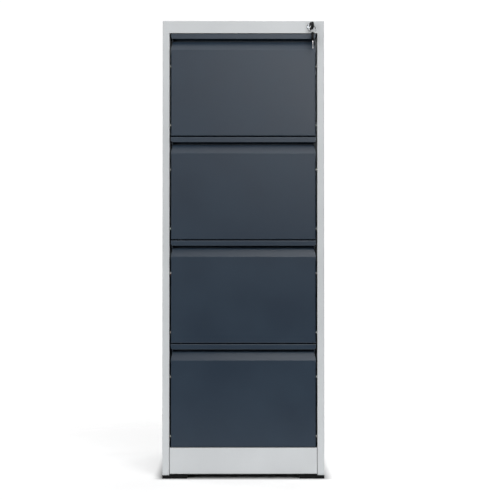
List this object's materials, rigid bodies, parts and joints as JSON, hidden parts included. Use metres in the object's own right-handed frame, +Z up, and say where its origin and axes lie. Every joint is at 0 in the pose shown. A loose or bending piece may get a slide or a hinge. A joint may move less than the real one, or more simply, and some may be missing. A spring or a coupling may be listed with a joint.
{
  "type": "metal filing cabinet",
  "caption": "Upright steel filing cabinet with full-extension drawers, recessed finger pulls, a central lock with keys, and corner feet.",
  "frame": {"origin": "on the floor, under the middle of the case's footprint", "axes": "+Z up, -Y out of the front where the drawers open, +X to the right of a person facing the drawers"},
  "size_m": [0.47, 0.6535, 1.33],
  "materials": {
    "case_paint": "fine satin powder coat, pale grey",
    "drawer_paint": "fine satin powder coat, slate grey",
    "zinc_steel": "bright zinc plate",
    "lock_chrome": "polished chrome plate",
    "key_steel": "nickel plate",
    "black_plastic": "moulded, fine texture",
    "nylon": "moulded natural nylon"
  },
  "bodies": {
    "cabinet": {"left_side_panel": "case_paint", "right_side_panel": "case_paint", "back_panel": "case_paint", "top_cover": "case_paint", "base_pan": "case_paint", "plinth": "case_paint", "slide_posts": "zinc_steel", "corner_feet": "black_plastic", "foot_screws": "zinc_steel", "lock_housing": "lock_chrome", "lock_nut": "zinc_steel", "lock_bar_guides": "zinc_steel", "drawer_1_slide_outer": "zinc_steel", "drawer_2_slide_outer": "zinc_steel", "drawer_3_slide_outer": "zinc_steel", "drawer_4_slide_outer": "zinc_steel"},
    "lock_plug": {"lock_plug": "lock_chrome", "lock_cam": "zinc_steel"},
    "lock_bar": {"lock_bar": "zinc_steel", "lock_bar_arm": "zinc_steel", "lock_bar_hooks": "zinc_steel"},
    "key": {"key_blade": "key_steel"},
    "key_head": {"key_head": "black_plastic"},
    "drawer_1": {"drawer_1_front": "drawer_paint", "drawer_1_inner_front": "drawer_paint", "drawer_1_tray": "drawer_paint", "drawer_1_back": "drawer_paint", "drawer_1_buttons": "nylon", "drawer_1_catch": "zinc_steel", "drawer_1_slide_inner": "zinc_steel"},
    "slide_middle_1": {"drawer_1_slide_middle": "zinc_steel"},
    "drawer_2": {"drawer_2_front": "drawer_paint", "drawer_2_inner_front": "drawer_paint", "drawer_2_tray": "drawer_paint", "drawer_2_back": "drawer_paint", "drawer_2_buttons": "nylon", "drawer_2_catch": "zinc_steel", "drawer_2_slide_inner": "zinc_steel"},
    "slide_middle_2": {"drawer_2_slide_middle": "zinc_steel"},
    "drawer_3": {"drawer_3_front": "drawer_paint", "drawer_3_inner_front": "drawer_paint", "drawer_3_tray": "drawer_paint", "drawer_3_back": "drawer_paint", "drawer_3_buttons": "nylon", "drawer_3_catch": "zinc_steel", "drawer_3_slide_inner": "zinc_steel"},
    "slide_middle_3": {"drawer_3_slide_middle": "zinc_steel"},
    "drawer_4": {"drawer_4_front": "drawer_paint", "drawer_4_inner_front": "drawer_paint", "drawer_4_tray": "drawer_paint", "drawer_4_back": "drawer_paint", "drawer_4_buttons": "nylon", "drawer_4_catch": "zinc_steel", "drawer_4_slide_inner": "zinc_steel"},
    "slide_middle_4": {"drawer_4_slide_middle": "zinc_steel"}
  },
  "joints": [
    {"name": "drawer_1_slide", "type": "slide", "parent": "cabinet", "child": "drawer_1", "axis": [0, -1, 0], "range_m": [0, 0.52]},
    {"name": "slide_middle_1_slide", "type": "slide", "parent": "cabinet", "child": "slide_middle_1", "axis": [0, -1, 0], "range_m": [0, 0.26]},
    {"name": "drawer_2_slide", "type": "slide", "parent": "cabinet", "child": "drawer_2", "axis": [0, -1, 0], "range_m": [0, 0.52]},
    {"name": "slide_middle_2_slide", "type": "slide", "parent": "cabinet", "child": "slide_middle_2", "axis": [0, -1, 0], "range_m": [0, 0.26]},
    {"name": "drawer_3_slide", "type": "slide", "parent": "cabinet", "child": "drawer_3", "axis": [0, -1, 0], "range_m": [0, 0.52]},
    {"name": "slide_middle_3_slide", "type": "slide", "parent": "cabinet", "child": "slide_middle_3", "axis": [0, -1, 0], "range_m": [0, 0.26]},
    {"name": "drawer_4_slide", "type": "slide", "parent": "cabinet", "child": "drawer_4", "axis": [0, -1, 0], "range_m": [0, 0.52]},
    {"name": "slide_middle_4_slide", "type": "slide", "parent": "cabinet", "child": "slide_middle_4", "axis": [0, -1, 0], "range_m": [0, 0.26]},
    {"name": "lock_bar_lift", "type": "slide", "parent": "cabinet", "child": "lock_bar", "axis": [0, 0, 1], "range_m": [0, 0.012]},
    {"name": "lock_turn", "type": "hinge", "parent": "cabinet", "child": "lock_plug", "pos_m": [0.1935, -0.31, 1.3125], "axis": [0, 1, 0], "range_deg": [0, 90.01]},
    {"name": "key_pull", "type": "slide", "parent": "lock_plug", "child": "key", "axis": [0, -1, 0], "range_m": [0, 0.025]},
    {"name": "key_fold", "type": "hinge", "parent": "key", "child": "key_head", "pos_m": [0.1935, -0.318, 1.3125], "axis": [0, 0, 1], "range_deg": [-88, 52]}
  ],
  "couplings": [
    {"joint": "slide_middle_1_slide", "follows": "drawer_1_slide", "ratio": 0.5},
    {"joint": "slide_middle_2_slide", "follows": "drawer_2_slide", "ratio": 0.5},
    {"joint": "slide_middle_3_slide", "follows": "drawer_3_slide", "ratio": 0.5},
    {"joint": "slide_middle_4_slide", "follows": "drawer_4_slide", "ratio": 0.5},
    {"joint": "lock_turn", "follows": "lock_bar_lift", "rad_per_m": 130.9}
  ]
}
